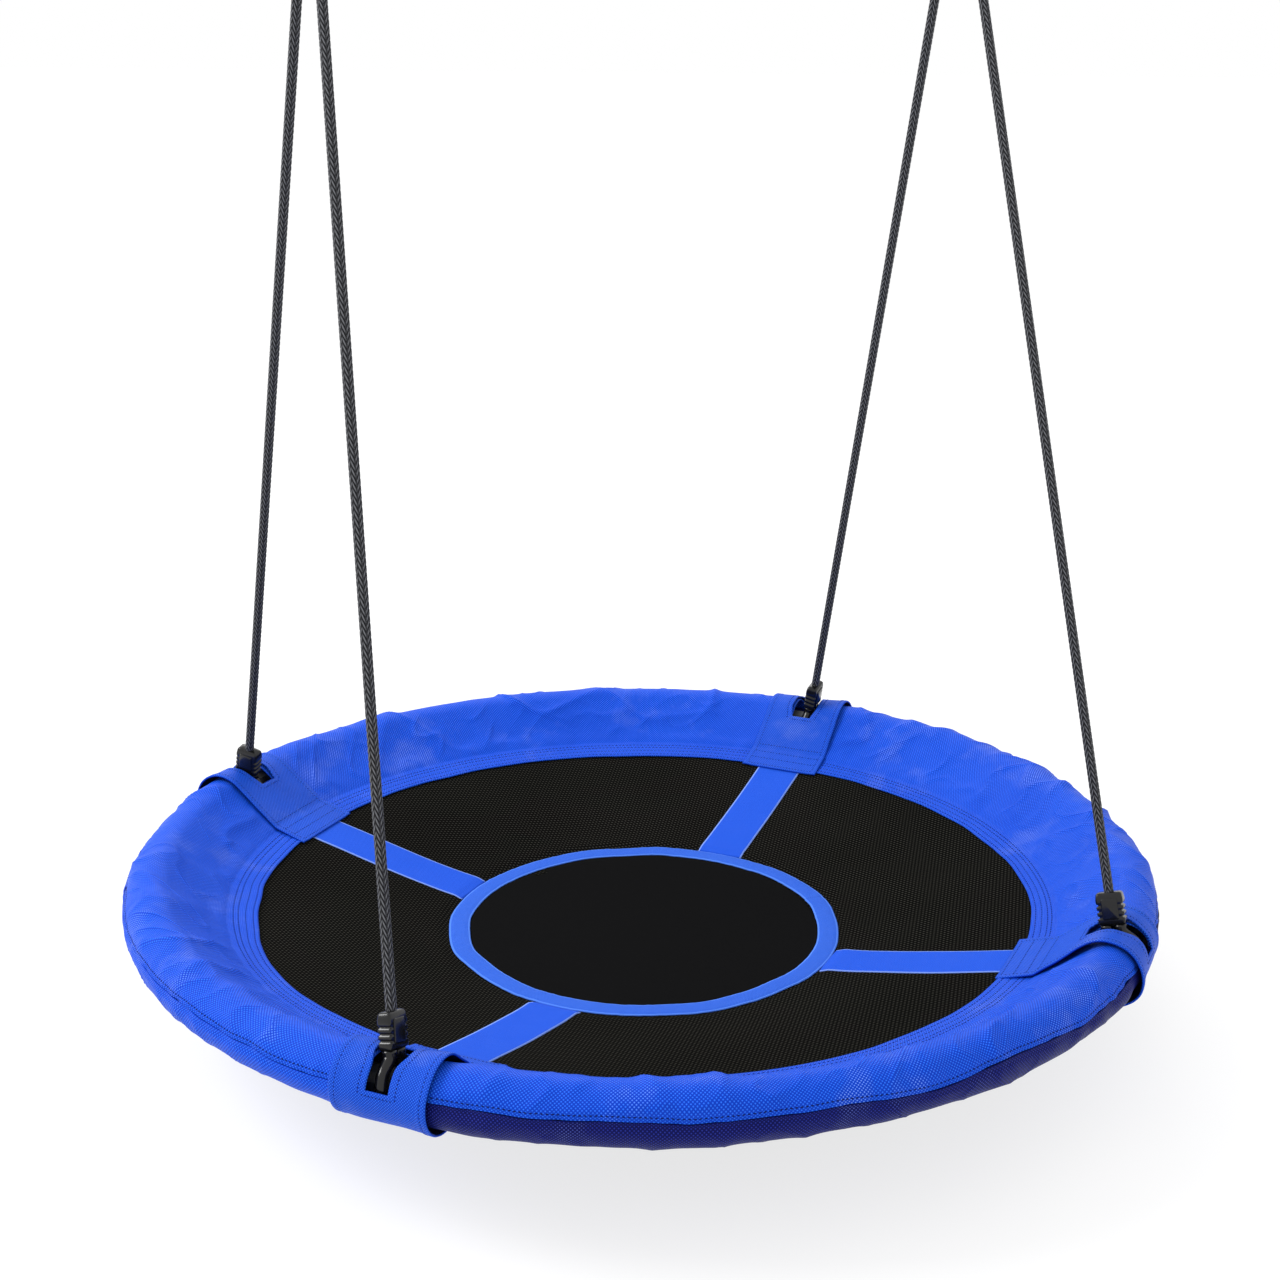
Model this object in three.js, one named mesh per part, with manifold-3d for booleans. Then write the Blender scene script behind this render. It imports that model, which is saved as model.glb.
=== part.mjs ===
// Saucer nest swing: a round padded seat on four ropes that meet in two steel rings.
// Millimetres, +Z up. The X axis is the swing's axis: it runs through the lowest point of both
// steel rings, where the ropes hang, and the origin is midway between them. -Y is the front.

import * as THREE from 'three';
import { mergeVertices } from 'three/addons/utils/BufferGeometryUtils.js';
import Module from 'manifold-3d';

// Driving dimensions.
const GAP = 0.3; // left between two pieces that touch

const HOOK_SPACING = 600; // between the two steel rings
const SEAT_DROP = 1035; // from the swing's axis down to the middle of the seat's frame
const RING_R = 475; // the frame, at the middle of its tube
const TUBE_R = 12.5;
const TUBE_WALL = 1.5;
const FOAM_R = 23.3;
const COVER_R = 25; // outside of the fabric round the foam
const CLOTH = 1.2; // thickness of the cover's fabric

const STEP = 10; // degrees between two sections of anything that runs round the frame
const CORNERS = { front_right: -45, back_right: 45, back_left: 135, front_left: 225 };
const SIDES = { right: -45, back: 45, left: 135, front: 225 }; // each starts at a corner

const HEM_R = 380; // inner edge of the cover
const HEM_WIDTH = 28; // the flat band sewn to the mesh
const HEM_Z = -28; // the middle of the mesh at the hem's inner edge
const CENTRE_R = 197; // the flat middle of the seat
const CENTRE_Z = -66;
const MESH = 1; // thickness of the seat mesh
const TAPE_R = 195;
const TAPE_WIDTH = 20;
const STRAP_WIDTH = 50;
const WEBBING = 1.5;

const PATCH_WIDTH = 90; // along the frame
const PATCH_R = 30.5; // outside of the hang patch where it passes over the frame
const PATCH_REACH = 372; // its inner end
const PATCH_EASE = 3; // slack over the hem, because the cover curves and the patch doesn't
const SLOT_WIDTH = 30;

const ROPE_R = 4.5;
const HOSE_R = 5.8;
const HOSE_BORE = 5;
const FLEX_GAP = 1.6; // left at a rope's lower end, where the rope bends as the seat sways
const LEG_SPACING = 6.2; // half the distance between a loop's two legs at its clamp
const FRAME_LOOP_R = 19.8; // bend of the rope round the frame
const FRAME_LOOP_LENGTH = 27.5;
const RING_LOOP_R = 10.8; // bend of the rope round a steel ring
const RING_LOOP_LENGTH = 50.5;
const CLAMP = { width: 25, depth: 13, height: 30, ridge: 1.2, ridges: 4 };
const STEEL_RING_R = 25;
const STEEL_BAR_R = 4;

const finishes = {
  blueCloth: { color: 0x2a5fe6, roughness: 0.72, metalness: 0 },
  navyCloth: { color: 0x1a2f9c, roughness: 0.75, metalness: 0 },
  blueWebbing: { color: 0x3c7ae8, roughness: 0.7, metalness: 0 },
  blackMesh: { color: 0x191a1a, roughness: 0.85, metalness: 0 },
  blackCloth: { color: 0x101112, roughness: 0.7, metalness: 0 },
  blackRope: { color: 0x26282b, roughness: 0.8, metalness: 0 },
  blackHose: { color: 0x0b0b0c, roughness: 0.25, metalness: 0 },
  blackPlastic: { color: 0x141415, roughness: 0.35, metalness: 0 },
  greyFoam: { color: 0x6f7276, roughness: 0.95, metalness: 0 },
  zincSteel: { color: 0xb9bcc0, roughness: 0.35, metalness: 1 },
};

const wasm = await Module();
wasm.setup();

const rad = THREE.MathUtils.degToRad;
const swing = new THREE.Group();
const seat = new THREE.Group();
seat.position.z = -SEAT_DROP;
swing.add(seat);

/** Adds one sub-part, with a material of its own, to a group and returns its mesh. */
function piece(group, name, geometry, finish) {
  const mesh = new THREE.Mesh(geometry, new THREE.MeshStandardMaterial(finishes[finish]));
  mesh.name = name;
  group.add(mesh);
  return mesh;
}

/** The closed solid that a geometry bounds, for cutting and joining. */
function toSolid(geometry) {
  const bare = geometry.clone();
  bare.deleteAttribute('normal');
  bare.deleteAttribute('uv');
  const merged = mergeVertices(bare, 1e-4);
  return new wasm.Manifold(new wasm.Mesh({
    numProp: 3,
    vertProperties: new Float32Array(merged.attributes.position.array),
    triVerts: new Uint32Array(merged.index.array),
  }));
}

/** The geometry of a solid's surface. */
function toGeometry(solid) {
  const mesh = solid.getMesh();
  const geometry = new THREE.BufferGeometry();
  geometry.setAttribute('position', new THREE.BufferAttribute(mesh.vertProperties, 3));
  geometry.setIndex(new THREE.BufferAttribute(mesh.triVerts, 1));
  geometry.computeVertexNormals();
  return geometry;
}

/** The middle line of the frame's tube, from one angle to another, in degrees. */
class FrameLine extends THREE.Curve {
  constructor(start, end) {
    super();
    this.start = rad(start);
    this.end = rad(end);
  }

  getPoint(t, target = new THREE.Vector3()) {
    const angle = this.start + (this.end - this.start) * t;
    return target.set(RING_R * Math.cos(angle), RING_R * Math.sin(angle), 0);
  }
}

/** A shape drawn as [out, up] from the tube's middle, turned to suit an extrusion round the frame. */
function section(points) {
  return new THREE.Shape(points.map(([out, up]) => new THREE.Vector2(-up, -out)));
}

/** A round section with a bore, or without one when the bore is 0. */
function roundSection(radius, bore) {
  const shape = new THREE.Shape().absarc(0, 0, radius, 0, 2 * Math.PI);
  if (bore > 0) shape.holes.push(new THREE.Path().absarc(0, 0, bore, 0, 2 * Math.PI, true));
  return shape;
}

/** Sweeps a section round the frame between two angles that lie on its grid. */
function roundFrame(shape, start, end, curveSegments = 5) {
  return new THREE.ExtrudeGeometry(shape, {
    steps: Math.round((end - start) / STEP),
    extrudePath: new FrameLine(start, end),
    curveSegments,
  });
}

/** Points of an arc round the tube's middle, as [out, up], with angles in degrees from outward. */
function arc(radius, from, to, steps) {
  return Array.from({ length: steps + 1 }, (_, i) => {
    const angle = rad(from + ((to - from) * i) / steps);
    return [radius * Math.cos(angle), radius * Math.sin(angle)];
  });
}

/** Height of the middle of the seat mesh at a distance from the seat's centre. */
function meshHeight(radius) {
  if (radius <= CENTRE_R) return CENTRE_Z;
  return CENTRE_Z + ((HEM_Z - CENTRE_Z) * (radius - CENTRE_R)) / (HEM_R - CENTRE_R);
}

/** A closed round profile, given as [radius, height], turned about the Z axis. */
function turned(points, segments = 360 / STEP) {
  const profile = points.map(([radius, height]) => new THREE.Vector2(radius, height));
  return new THREE.LatheGeometry(profile, segments).rotateX(Math.PI / 2);
}

// The frame: four bent tubes. Each has a narrow end that slides into the next one, 5 degrees
// before a corner, and a screw holds the two together there.
const SOCKET = 5;
const SPIGOT_R = TUBE_R - TUBE_WALL - GAP;
const SPIGOT_LENGTH = 36;
const COLLAR = 2; // a step inside the narrow end, which carries the spigot
const COLLAR_SETBACK = 1.5; // keeps the collar clear of the slanting seam
const SEAM_ANGLE = THREE.MathUtils.radToDeg(GAP / RING_R);
const SCREW = { shank: 2, head: 4, headHeight: 2.4, length: 9, alongSpigot: 22 };

function atSeam(geometry, corner, along) {
  const chord = new FrameLine(corner - SOCKET, corner + SOCKET);
  const place = chord.getPoint(0);
  const end = chord.getPoint(1);
  const direction = end.clone().sub(place).normalize();
  place.addScaledVector(direction, along);
  const turn = Math.atan2(direction.y, direction.x);
  return geometry.rotateZ(turn).translate(place.x, place.y, place.z);
}

function screwHole(corner) {
  const hole = new THREE.CylinderGeometry(SCREW.shank + GAP, SCREW.shank + GAP, TUBE_R * 2, 8);
  hole.rotateX(Math.PI / 2).translate(0, 0, -TUBE_R);
  return toSolid(atSeam(hole, corner, SCREW.alongSpigot));
}

function frameTube(start) {
  const next = start + 90;
  const bore = TUBE_R - TUBE_WALL;
  const tube = roundFrame(roundSection(TUBE_R, bore), start - SOCKET, next - SOCKET - SEAM_ANGLE);
  const spigot = new THREE.ExtrudeGeometry(roundSection(SPIGOT_R, SPIGOT_R - TUBE_WALL), {
    depth: SPIGOT_LENGTH + COLLAR_SETBACK,
    curveSegments: 5,
    bevelEnabled: false,
  });
  const collar = new THREE.ExtrudeGeometry(roundSection(TUBE_R - GAP, SPIGOT_R - TUBE_WALL), {
    depth: COLLAR,
    curveSegments: 5,
    bevelEnabled: false,
  });
  spigot.rotateY(Math.PI / 2);
  collar.rotateY(Math.PI / 2);
  const joined = toSolid(tube)
    .subtract(screwHole(start))
    .add(toSolid(atSeam(collar, next, -COLLAR - COLLAR_SETBACK)))
    .add(toSolid(atSeam(spigot, next, -COLLAR_SETBACK - GAP)))
    .subtract(screwHole(next));
  return toGeometry(joined);
}

function frameScrew(corner) {
  const { shank, head, headHeight, length } = SCREW;
  const top = -TUBE_R - GAP;
  const points = [
    [0, top - headHeight],
    [head, top - headHeight],
    [head, top],
    [shank, top],
    [shank, top + length],
    [0, top + length],
  ];
  return atSeam(turned(points, 8), corner, SCREW.alongSpigot);
}

for (const [side, start] of Object.entries(SIDES)) {
  piece(seat, `frame_tube_${side}`, frameTube(start), 'zincSteel');
  const foam = roundSection(FOAM_R, TUBE_R + GAP);
  piece(seat, `foam_${side}`, roundFrame(foam, start + SOCKET, start + 90 - SOCKET), 'greyFoam');
}
for (const [corner, angle] of Object.entries(CORNERS)) {
  piece(seat, `frame_screw_${corner}`, frameScrew(angle), 'zincSteel');
}

// The cover: on each side of the seat a top panel and a darker under panel wrap the foam. They
// meet in a seam on the outside, and their inner edges are sewn above and below the mesh.
const SEAM = 12; // degrees above the frame's outermost line
const HEM_IN = HEM_R - RING_R;
const HEM_OUT = HEM_IN + HEM_WIDTH;
const HEM_TOP = MESH / 2 + GAP;

/** The angle at which a straight line from a point just touches a circle round the tube. */
function touching(out, up, radius, above) {
  const toMiddle = Math.atan2(up, out);
  const spread = Math.acos(radius / Math.hypot(out, up));
  return THREE.MathUtils.radToDeg(above ? toMiddle - spread : toMiddle + spread);
}

function hemHeight(out) {
  return meshHeight(RING_R + out);
}

function topPanel() {
  const low = hemHeight(HEM_OUT) + HEM_TOP;
  const inside = COVER_R - CLOTH;
  const bottom = touching(HEM_OUT, low, inside, true) + 360;
  const top = touching(HEM_OUT, low + CLOTH, COVER_R, true) + 360;
  return section([
    [HEM_IN, hemHeight(HEM_IN) + HEM_TOP],
    [HEM_OUT, low],
    ...arc(inside, bottom % 360, SEAM, 7),
    ...arc(COVER_R, SEAM, top % 360, 7),
    [HEM_OUT, low + CLOTH],
    [HEM_IN, hemHeight(HEM_IN) + HEM_TOP + CLOTH],
  ]);
}

function underPanel() {
  const high = hemHeight(HEM_OUT) - HEM_TOP;
  const inside = COVER_R - CLOTH;
  const seam = SEAM - THREE.MathUtils.radToDeg(GAP / COVER_R);
  const top = touching(HEM_OUT, high, inside, false);
  const bottom = touching(HEM_OUT, high - CLOTH, COVER_R, false);
  return section([
    [HEM_IN, hemHeight(HEM_IN) - HEM_TOP],
    [HEM_OUT, high],
    ...arc(inside, top, seam, 6),
    ...arc(COVER_R, seam, bottom, 6),
    [HEM_OUT, high - CLOTH],
    [HEM_IN, hemHeight(HEM_IN) - HEM_TOP - CLOTH],
  ]);
}

for (const [side, start] of Object.entries(SIDES)) {
  const ends = [start + SOCKET, start + 90 - SOCKET];
  piece(seat, `cover_top_${side}`, roundFrame(topPanel(), ...ends), 'blueCloth');
  const underCloth = side === 'left' ? 'blueCloth' : 'navyCloth';
  piece(seat, `cover_under_${side}`, roundFrame(underPanel(), ...ends), underCloth);
}

// The seat: a mesh that sags to a flat middle. There a smooth patch closes the hole in the mesh,
// a ring of tape binds the two, and a strap runs from the tape to each corner.
const MESH_EDGE = HEM_R + HEM_WIDTH - 2;
const PATCH_Z = CENTRE_Z + MESH / 2 + GAP;
const tapeInside = TAPE_R - TAPE_WIDTH;
const meshInside = tapeInside - 10; // hidden under the patch

piece(seat, 'seat_mesh', turned([
  [meshInside, CENTRE_Z - MESH / 2],
  [CENTRE_R, CENTRE_Z - MESH / 2],
  [MESH_EDGE, meshHeight(MESH_EDGE) - MESH / 2],
  [MESH_EDGE, meshHeight(MESH_EDGE) + MESH / 2],
  [CENTRE_R, CENTRE_Z + MESH / 2],
  [meshInside, CENTRE_Z + MESH / 2],
  [meshInside, CENTRE_Z - MESH / 2],
]), 'blackMesh');

piece(seat, 'centre_patch', turned([
  [0, PATCH_Z],
  [tapeInside - 1, PATCH_Z],
  [tapeInside - 1, PATCH_Z + MESH],
  [0, PATCH_Z + MESH],
]), 'blackCloth');
piece(seat, 'centre_tape', turned([
  [tapeInside, PATCH_Z],
  [TAPE_R, PATCH_Z],
  [TAPE_R, PATCH_Z + WEBBING],
  [tapeInside, PATCH_Z + WEBBING],
  [tapeInside, PATCH_Z],
]), 'blueWebbing');

const STRAP_LIFT = MESH / 2 + 0.9; // clears the mesh, which curves up under the strap's edges
const STRAP_START = TAPE_R + 2;
const STRAP_END = PATCH_REACH + 18; // under the patch, where the two are sewn together

function strap() {
  const lower = (radius) => meshHeight(radius) + STRAP_LIFT;
  const outline = new THREE.Shape([
    new THREE.Vector2(STRAP_START, lower(STRAP_START)),
    new THREE.Vector2(STRAP_END, lower(STRAP_END)),
    new THREE.Vector2(STRAP_END, lower(STRAP_END) + WEBBING),
    new THREE.Vector2(STRAP_START, lower(STRAP_START) + WEBBING),
  ]);
  return acrossCorner(outline, STRAP_WIDTH);
}

/** Extrudes an outline, drawn as [radius, height], to a width centred on the X axis. */
function acrossCorner(outline, width) {
  const geometry = new THREE.ExtrudeGeometry(outline, { depth: width, bevelEnabled: false });
  return geometry.rotateX(Math.PI / 2).translate(0, width / 2, 0);
}

// The hang patches: one at each corner, from the seat's edge over the frame to its underside,
// with a slot for the rope's loop.
const HANG_R = RING_R * Math.cos(rad(SOCKET)); // the frame is straight across each corner

function hangPatch() {
  const inside = PATCH_R - WEBBING;
  const lift = STRAP_LIFT + WEBBING + GAP;
  const inner = [PATCH_REACH - HANG_R, meshHeight(PATCH_REACH) + lift];
  const fold = [HEM_OUT, hemHeight(HEM_OUT) + lift + PATCH_EASE];
  const start = touching(fold[0], fold[1], inside, true) + 360;
  const outerStart = touching(fold[0], fold[1] + WEBBING, PATCH_R, true) + 360;
  const under = -100;
  const profile = [
    inner,
    fold,
    ...arc(inside, start % 360, under, 12),
    ...arc(PATCH_R, under, outerStart % 360, 12),
    [fold[0], fold[1] + WEBBING],
    [inner[0], inner[1] + WEBBING],
  ];
  const outline = new THREE.Shape(profile.map(([out, up]) => new THREE.Vector2(HANG_R + out, up)));
  const slotBottom = 6;
  const slot = new THREE.BoxGeometry(2 * PATCH_R + 20, SLOT_WIDTH, 2 * PATCH_R);
  slot.translate(HANG_R + 12, 0, slotBottom + PATCH_R);
  return toGeometry(toSolid(acrossCorner(outline, PATCH_WIDTH)).subtract(toSolid(slot)));
}

for (const [corner, angle] of Object.entries(CORNERS)) {
  piece(seat, `strap_${corner}`, strap(), 'blueWebbing').rotation.z = rad(angle);
  piece(seat, `hang_patch_${corner}`, hangPatch(), 'blueCloth').rotation.z = rad(angle);
}

// The ropes. A rope runs from a corner up to its steel ring, round it, and down to the other
// corner on that side. Each end and the bend at the top is a loop in a length of hose, closed
// by a ridged clamp.

/** The middle line of a loop, in the XY plane: round the origin, with its legs towards +Y. */
function loopLine(bend, length) {
  const shoulder = 25; // degrees round the bend at which a leg leaves it
  const half = [
    [LEG_SPACING, length],
    [LEG_SPACING, length - 5],
    ...arc(bend, shoulder, -75, 4),
  ];
  const mirrored = half.map(([x, y]) => [-x, y]).reverse();
  const points = [...half, ...mirrored].map(([x, y]) => new THREE.Vector3(x, y, 0));
  return new THREE.CatmullRomCurve3(points, false, 'centripetal');
}

function loop(bend, length, radius, bore) {
  return new THREE.ExtrudeGeometry(roundSection(radius, bore), {
    steps: 12,
    extrudePath: loopLine(bend, length),
    curveSegments: 4,
  });
}

/** A block with ridges on its two narrow sides, standing on the XZ plane and rising along +Y. */
function clamp() {
  const { width, depth, height, ridge, ridges } = CLAMP;
  const pitch = height / (2 * ridges);
  const right = Array.from({ length: ridges }, (_, i) => [
    [width / 2, 2 * i * pitch],
    [width / 2, (2 * i + 1) * pitch],
    [width / 2 - ridge, (2 * i + 1) * pitch],
    [width / 2 - ridge, (2 * i + 2) * pitch],
  ]).flat();
  const left = right.map(([x, y]) => [-x, y]).reverse();
  const outline = new THREE.Shape([...right, ...left].map(([x, y]) => new THREE.Vector2(x, y)));
  const geometry = new THREE.ExtrudeGeometry(outline, { depth, bevelEnabled: false });
  return geometry.translate(0, 0, -depth / 2);
}

/** A straight rope with round ends, between the middles of those ends. */
function straightRope(from, to) {
  const length = from.distanceTo(to);
  const steps = 10;
  const sides = Array.from({ length: steps + 1 }, (_, i) => [ROPE_R, (length * i) / steps]);
  const dome = [25, 60].map(rad);
  const geometry = new THREE.LatheGeometry([
    [0, -ROPE_R],
    ...dome.map((a) => [ROPE_R * Math.sin(a), -ROPE_R * Math.cos(a)]),
    ...sides,
    ...dome.reverse().map((a) => [ROPE_R * Math.sin(a), length + ROPE_R * Math.cos(a)]),
    [0, length + ROPE_R],
  ].map(([x, y]) => new THREE.Vector2(x, y)), 8);
  const turn = new THREE.Quaternion().setFromUnitVectors(
    new THREE.Vector3(0, 1, 0),
    to.clone().sub(from).normalize(),
  );
  return geometry.applyQuaternion(turn).translate(from.x, from.y, from.z);
}

/** A group whose +Y points along a direction, with its X as near as can be to another. */
function aimed(place, along, across) {
  const y = along.clone().normalize();
  const z = across.clone().cross(y).normalize();
  const x = y.clone().cross(z);
  const group = new THREE.Group();
  group.position.copy(place);
  group.quaternion.setFromRotationMatrix(new THREE.Matrix4().makeBasis(x, y, z));
  swing.add(group);
  return group;
}

function ropeLoop(group, names, bend, length) {
  piece(group, names.hose, loop(bend, length, HOSE_R, HOSE_BORE), 'blackHose');
  piece(group, names.loop, loop(bend, length, ROPE_R, 0), 'blackRope');
  piece(group, names.clamp, clamp(), 'blackPlastic').position.y = length + GAP;
}

const RING_LOOP_END = RING_LOOP_LENGTH + CLAMP.height + 2 * GAP + ROPE_R;
const FRAME_LOOP_END = FRAME_LOOP_LENGTH + GAP + CLAMP.height + FLEX_GAP + ROPE_R;

for (const [side, x] of [['left', -HOOK_SPACING / 2], ['right', HOOK_SPACING / 2]]) {
  const steelRing = new THREE.TorusGeometry(STEEL_RING_R, STEEL_BAR_R, 8, 20);
  steelRing.rotateX(Math.PI / 2).translate(x, 0, STEEL_RING_R);
  piece(swing, `steel_ring_${side}`, steelRing, 'zincSteel');

  const down = new THREE.Vector3(0, 0, -1);
  const head = aimed(new THREE.Vector3(x, 0, 0), down, new THREE.Vector3(0, 1, 0));
  ropeLoop(head, {
    hose: `top_hose_${side}`,
    loop: `top_rope_loop_${side}`,
    clamp: `top_clamp_${side}`,
  }, RING_LOOP_R, RING_LOOP_LENGTH);

  for (const [end, sign] of [['front', -1], ['back', 1]]) {
    const corner = `${end}_${side}`;
    const angle = rad(CORNERS[corner]);
    const outward = new THREE.Vector3(Math.cos(angle), Math.sin(angle), 0);
    const frame = outward.clone().multiplyScalar(HANG_R).setZ(-SEAT_DROP);
    const top = new THREE.Vector3(x, sign * LEG_SPACING, -RING_LOOP_END);
    const along = top.clone().sub(frame).normalize();
    ropeLoop(aimed(frame, along, outward), {
      hose: `lower_hose_${corner}`,
      loop: `lower_rope_loop_${corner}`,
      clamp: `lower_clamp_${corner}`,
    }, FRAME_LOOP_R, FRAME_LOOP_LENGTH);
    const bottom = frame.clone().addScaledVector(along, FRAME_LOOP_END);
    piece(swing, `rope_${corner}`, straightRope(bottom, top), 'blackRope');
  }
}

export default swing;
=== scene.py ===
import math

import bmesh
import bpy
import numpy as np
from mathutils import Matrix, Vector


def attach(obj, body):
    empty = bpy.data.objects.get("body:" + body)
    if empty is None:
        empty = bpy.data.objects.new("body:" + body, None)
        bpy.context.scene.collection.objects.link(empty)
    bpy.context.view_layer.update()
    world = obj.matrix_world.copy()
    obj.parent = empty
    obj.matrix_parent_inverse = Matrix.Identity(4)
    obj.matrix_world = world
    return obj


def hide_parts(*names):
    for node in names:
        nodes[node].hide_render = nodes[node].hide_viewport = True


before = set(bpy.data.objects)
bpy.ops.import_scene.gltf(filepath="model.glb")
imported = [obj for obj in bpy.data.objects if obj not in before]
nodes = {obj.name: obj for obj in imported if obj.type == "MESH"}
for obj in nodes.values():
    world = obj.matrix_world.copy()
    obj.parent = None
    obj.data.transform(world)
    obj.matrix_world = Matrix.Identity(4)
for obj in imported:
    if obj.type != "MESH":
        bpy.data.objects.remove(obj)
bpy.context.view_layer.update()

# The frame's own dimensions, in metres.
SEAT_Z = -1.035
RING_R = 0.475
HANG_R = RING_R * math.cos(math.radians(5))
FOAM_R, TUBE_R = 0.0233, 0.0125
COVER_R, CLOTH = 0.025, 0.0012
HEM_R, HEM_WIDTH, HEM_Z = 0.380, 0.028, -0.028
CENTRE_R, CENTRE_Z, MESH = 0.197, -0.066, 0.001
TAPE_R, TAPE_WIDTH = 0.195, 0.020
WEBBING, STRAP_WIDTH = 0.0015, 0.050
PATCH_WIDTH, PATCH_R, PATCH_REACH = 0.090, 0.0305, 0.372
SLOT_WIDTH = 0.030
ROPE_R, HOSE_R, HOSE_BORE = 0.0045, 0.0058, 0.0050
GAP, FLEX_GAP, LEG = 0.0003, 0.0016, 0.0062
CLAMP_W, CLAMP_D, CLAMP_H = 0.025, 0.013, 0.030
FRAME_LOOP = (0.0198, 0.0275)
RING_LOOP = (0.0108, 0.0505)
HOOK_X = 0.300
STEEL_RING_R, STEEL_BAR_R = 0.025, 0.004
CORNERS = {"front_right": -45, "back_right": 45, "back_left": 135, "front_left": 225}
SIDES = {"right": 0, "back": 90, "left": 180, "front": 270}
SEAM = 12.0  # degrees above the frame's outermost line
STITCH = 0.0042
FLOOR_DROP = 0.125  # from the frame's middle down to the floor
# Eight columns of strands round a rope, how far they lean, and one strand's pitch along it.
BRAID_COLUMNS, BRAID_SLANT, BRAID_PITCH = 8, 1.4, 0.0058

# ---------------------------------------------------------------- camera


SENSOR, LENS = 36, 57.16547  # both in millimetres
SHIFT = (-0.0603594, -0.0193359)
CAMERA_PLACE = (-0.6614, -1.7514, -0.2198)


def make_camera():
    a, e, r = (math.radians(v) for v in (-22.727, 16.4834, 1.1586))  # azimuth, height and roll
    forward = Vector((-math.sin(a) * math.cos(e), math.cos(a) * math.cos(e), -math.sin(e)))
    level = forward.cross(Vector((0, 0, 1))).normalized()
    upright = level.cross(forward)
    right = math.cos(r) * level + math.sin(r) * upright
    up = -math.sin(r) * level + math.cos(r) * upright
    data = bpy.data.cameras.new("camera")
    data.sensor_width = SENSOR
    data.lens = LENS
    data.shift_x, data.shift_y = SHIFT
    camera = bpy.data.objects.new("camera", data)
    axes = Matrix((right, up, -forward)).transposed().to_4x4()
    camera.matrix_world = Matrix.Translation(CAMERA_PLACE) @ axes
    bpy.context.scene.collection.objects.link(camera)
    bpy.context.scene.camera = camera


make_camera()

# ---------------------------------------------------------------- small tools


def smooth(x, low, high):
    t = np.clip((np.asarray(x, float) - low) / (high - low), 0, 1)
    return t * t * (3 - 2 * t)


def noise(x, y, seed):
    """Smooth noise from -1 to 1, one cell to a unit."""
    table = np.random.default_rng(seed).uniform(-1, 1, (64, 64))
    xi, yi = np.floor(x).astype(int), np.floor(y).astype(int)
    fx, fy = x - xi, y - yi
    fx, fy = fx * fx * (3 - 2 * fx), fy * fy * (3 - 2 * fy)
    a, b = table[xi % 64, yi % 64], table[(xi + 1) % 64, yi % 64]
    c, d = table[xi % 64, (yi + 1) % 64], table[(xi + 1) % 64, (yi + 1) % 64]
    return (a * (1 - fx) + b * fx) * (1 - fy) + (c * (1 - fx) + d * fx) * fy


def make_object(name, points, faces, material, uv=None):
    mesh = bpy.data.meshes.new(name)
    mesh.from_pydata([tuple(p) for p in points], [], [tuple(f) for f in faces])
    if uv is not None:
        layer = mesh.uv_layers.new(name="weave")
        loops = np.empty(len(mesh.loops), int)
        mesh.loops.foreach_get("vertex_index", loops)
        layer.data.foreach_set("uv", np.asarray(uv, float)[loops].ravel())
    mesh.polygons.foreach_set("use_smooth", [True] * len(mesh.polygons))
    mesh.materials.append(material)
    mesh.update()
    made = bpy.data.objects.new(name, mesh)
    bpy.context.scene.collection.objects.link(made)
    return made


def mesh_clean(made):
    """Turns every face of a closed mesh outwards."""
    work = bmesh.new()
    work.from_mesh(made.data)
    bmesh.ops.recalc_face_normals(work, faces=work.faces)
    work.to_mesh(made.data)
    work.free()


def belongs(made, body, node=None):
    """The piece moves with a body and may stand for a CAD node, which it hides."""
    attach(made, body)
    if node is not None:
        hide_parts(node)


def grid_faces(nu, nv, base=0, closed_u=False, closed_v=False, flip=False):
    i, j = np.meshgrid(
        np.arange(nu if closed_u else nu - 1),
        np.arange(nv if closed_v else nv - 1),
        indexing="ij",
    )
    i2, j2 = (i + 1) % nu, (j + 1) % nv
    quads = np.stack([i * nv + j, i2 * nv + j, i2 * nv + j2, i * nv + j2], -1).reshape(-1, 4)
    return (quads[:, ::-1] if flip else quads) + base


def grid_normals(p, closed_u=False):
    du = np.roll(p, -1, 0) - np.roll(p, 1, 0) if closed_u else np.gradient(p, axis=0)
    dv = np.gradient(p, axis=1)
    n = np.cross(du, dv)
    return n / np.maximum(np.linalg.norm(n, axis=-1, keepdims=True), 1e-12)


def slab(name, p, thickness, material, uv, closed_u=False, keep=None, normals=None, inner_material=None):
    """A closed sheet: grid p is its outer side, and its inner side lies a thickness behind.
    keep says which of the grid's cells are there, and lining is the inner side's material."""
    nu, nv = p.shape[:2]
    n = grid_normals(p, closed_u) if normals is None else normals
    count = nu * nv
    points = np.concatenate([p.reshape(-1, 3), (p - n * thickness).reshape(-1, 3)])
    outer = grid_faces(nu, nv, closed_u=closed_u)
    if keep is not None:
        outer = outer[keep.ravel()]
    inner = outer[:, ::-1] + count
    edges = np.stack([outer, np.roll(outer, -1, 1)], -1).reshape(-1, 2)
    key = edges[:, 0].astype(np.int64) * (2 * count) + edges[:, 1]
    back = edges[:, 1].astype(np.int64) * (2 * count) + edges[:, 0]
    rim = edges[~np.isin(back, key)]
    rims = np.stack([rim[:, 1], rim[:, 0], rim[:, 0] + count, rim[:, 1] + count], -1)
    faces = np.concatenate([outer, inner, rims])
    used, again = np.unique(faces, return_inverse=True)
    both = np.concatenate([uv.reshape(-1, 2)] * 2)
    made = make_object(name, points[used], again.reshape(faces.shape), material, both[used])
    if inner_material is not None:
        made.data.materials.append(inner_material)
        inside = np.zeros(len(faces), int)
        inside[len(outer):2 * len(outer)] = 1
        made.data.polygons.foreach_set("material_index", inside)
    return made


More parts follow.
